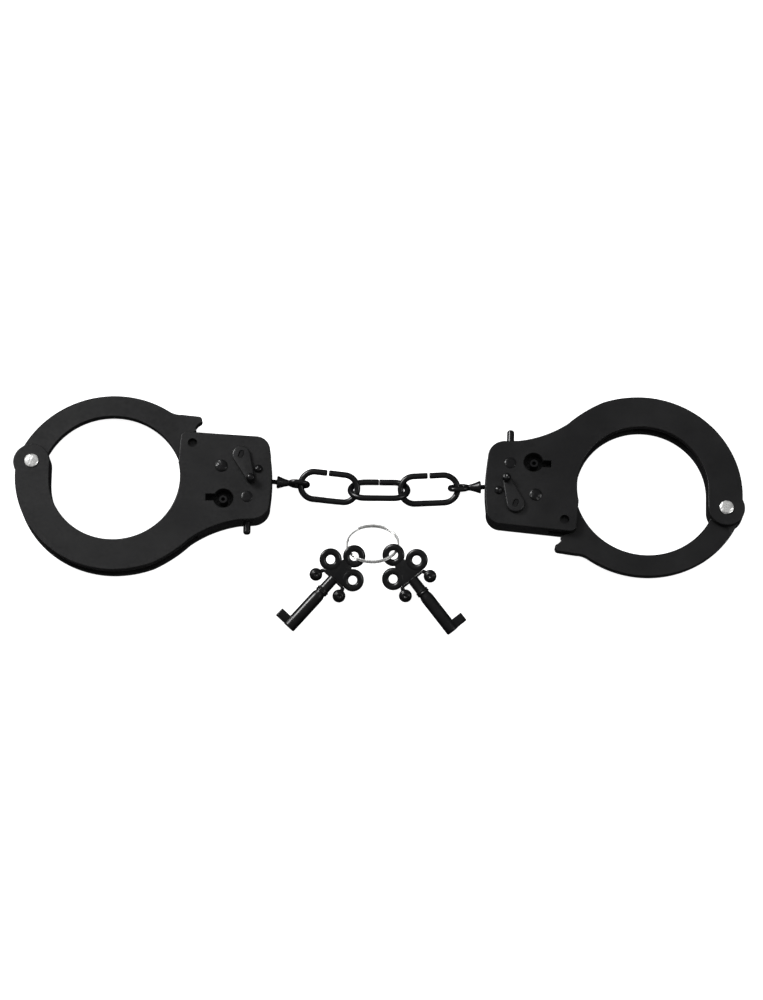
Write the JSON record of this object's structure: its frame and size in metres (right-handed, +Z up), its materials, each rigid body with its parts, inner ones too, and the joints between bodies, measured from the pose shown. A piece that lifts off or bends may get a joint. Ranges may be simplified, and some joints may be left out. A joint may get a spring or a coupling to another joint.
{
  "type": "double-bow handcuffs",
  "caption": "Double-bow ratchet handcuffs joined by a short welded chain, with release levers, push-pin double locks and barrel keys on a split ring.",
  "frame": {"origin": "centre of the whole set's box, on the surface that it lies on", "axes": "+X from the left cuff to the right cuff, +Y away from the viewer, +Z up off the surface"},
  "size_m": [0.2788, 0.095, 0.0132],
  "materials": {
    "black_enamel": "semi-matte fine-textured black enamel",
    "gloss_black": "glossy black enamel",
    "nickel": "bright nickel",
    "inner_steel": "plain dark steel"
  },
  "bodies": {
    "cuff_a": {"back_cheek_a": "black_enamel", "front_cheek_a": "black_enamel", "lock_frame_a": "black_enamel", "hinge_rivet_a": "nickel", "corner_rivet_a": "black_enamel", "pawl_rivet_a": "black_enamel", "rear_rivet_a": "black_enamel", "stop_pin_a": "black_enamel", "key_post_a": "gloss_black", "pawl_spring_a": "inner_steel", "lock_spring_a": "inner_steel"},
    "jaw_a": {"jaw_a": "black_enamel"},
    "pawl_a": {"pawl_a": "inner_steel"},
    "lever_a": {"release_lever_a": "gloss_black", "lever_shaft_a": "gloss_black", "lever_knob_a": "gloss_black"},
    "lock_a": {"lock_slider_a": "gloss_black"},
    "swivel_a": {"swivel_a": "gloss_black"},
    "key_a": {"key_a": "gloss_black"},
    "cuff_b": {"back_cheek_b": "black_enamel", "front_cheek_b": "black_enamel", "lock_frame_b": "black_enamel", "hinge_rivet_b": "nickel", "corner_rivet_b": "black_enamel", "pawl_rivet_b": "black_enamel", "rear_rivet_b": "black_enamel", "stop_pin_b": "black_enamel", "key_post_b": "gloss_black", "pawl_spring_b": "inner_steel", "lock_spring_b": "inner_steel"},
    "jaw_b": {"jaw_b": "black_enamel"},
    "pawl_b": {"pawl_b": "inner_steel"},
    "lever_b": {"release_lever_b": "gloss_black", "lever_shaft_b": "gloss_black", "lever_knob_b": "gloss_black"},
    "lock_b": {"lock_slider_b": "gloss_black"},
    "swivel_b": {"swivel_b": "gloss_black"},
    "key_b": {"key_b": "gloss_black"},
    "chain_link_1": {"chain_link_1": "gloss_black"},
    "chain_link_2": {"chain_link_2": "gloss_black"},
    "chain_link_3": {"chain_link_3": "gloss_black"},
    "split_ring": {"split_ring": "nickel"}
  },
  "joints": [
    {"name": "jaw_a_hinge", "type": "hinge", "parent": "cuff_a", "child": "jaw_a", "pos_m": [-0.13234, 0.01993, 0.0045], "axis": [0, 0, 1], "range_deg": [-3, 195]},
    {"name": "pawl_a_pivot", "type": "hinge", "parent": "cuff_a", "child": "pawl_a", "pos_m": [-0.05979, 0.01783, 0.0045], "axis": [0, 0, 1], "range_deg": [0, 7.6], "deforming": ["pawl_spring_a"]},
    {"name": "lever_a_turn", "type": "hinge", "parent": "cuff_a", "child": "lever_a", "pos_m": [-0.05224, 0.02203, 0.0045], "axis": [0, 0, 1], "range_deg": [-38, 0], "stiffness_Nm_per_rad": 0.002},
    {"name": "lock_a_push", "type": "slide", "parent": "cuff_a", "child": "lock_a", "axis": [0, 1, 0], "range_m": [-0.0011, 0.001]},
    {"name": "swivel_a_spin", "type": "hinge", "parent": "cuff_a", "child": "swivel_a", "pos_m": [-0.04094, 0.01293, 0.0045], "axis": [0.9966, -0.0826, 0], "continuous": true},
    {"name": "chain_link_1_swing", "type": "hinge", "parent": "swivel_a", "child": "chain_link_1", "pos_m": [-0.02826, 0.0119, 0.0045], "axis": [0, 0, 1], "range_deg": [-8, 24]},
    {"name": "jaw_b_hinge", "type": "hinge", "parent": "cuff_b", "child": "jaw_b", "pos_m": [0.13233, 0.00099, 0.0045], "axis": [0, 0, 1], "range_deg": [-3, 195]},
    {"name": "pawl_b_pivot", "type": "hinge", "parent": "cuff_b", "child": "pawl_b", "pos_m": [0.05994, 0.00619, 0.0045], "axis": [0, 0, 1], "range_deg": [0, 7.6], "deforming": ["pawl_spring_b"]},
    {"name": "lever_b_turn", "type": "hinge", "parent": "cuff_b", "child": "lever_b", "pos_m": [0.05222, 0.00232, 0.0045], "axis": [0, 0, 1], "range_deg": [-38, 0], "stiffness_Nm_per_rad": 0.002},
    {"name": "lock_b_push", "type": "slide", "parent": "cuff_b", "child": "lock_b", "axis": [-0.0427, -0.9991, 0], "range_m": [0, 0.0021]},
    {"name": "swivel_b_spin", "type": "hinge", "parent": "swivel_b", "child": "cuff_b", "pos_m": [0.04127, 0.01079, 0.0045], "axis": [-0.9993, -0.0384, 0], "continuous": true},
    {"name": "swivel_b_swing", "type": "hinge", "parent": "chain_link_3", "child": "swivel_b", "pos_m": [0.02904, 0.01025, 0.0045], "axis": [0, 0, 1], "range_deg": [-8, 28]},
    {"name": "chain_link_2_roll", "type": "hinge", "parent": "chain_link_1", "child": "chain_link_2", "pos_m": [-0.00921, 0.00957, 0.0045], "axis": [1, 0, 0], "range_deg": [-60, 0]},
    {"name": "chain_link_3_roll", "type": "hinge", "parent": "chain_link_2", "child": "chain_link_3", "pos_m": [0.00998, 0.00936, 0.0045], "axis": [1, 0, 0], "range_deg": [0, 60]},
    {"name": "ring_lift", "type": "slide", "parent": "cuff_a", "child": "split_ring", "axis": [0, 0, 1], "range_m": [0, 0.06]},
    {"name": "key_a_slide", "type": "hinge", "parent": "split_ring", "child": "key_a", "pos_m": [-0.00195, -0.01231, 0.00522], "axis": [0, 0.4787, 0.878], "range_deg": [-12, 8]},
    {"name": "key_b_slide", "type": "hinge", "parent": "split_ring", "child": "key_b", "pos_m": [-0.00195, -0.01231, 0.00522], "axis": [0, 0.4787, 0.878], "range_deg": [-8, 12]}
  ],
  "couplings": [
    {"joint": "pawl_a_pivot", "follows": "lever_a_turn", "ratio": -0.2},
    {"joint": "pawl_b_pivot", "follows": "lever_b_turn", "ratio": -0.2}
  ]
}
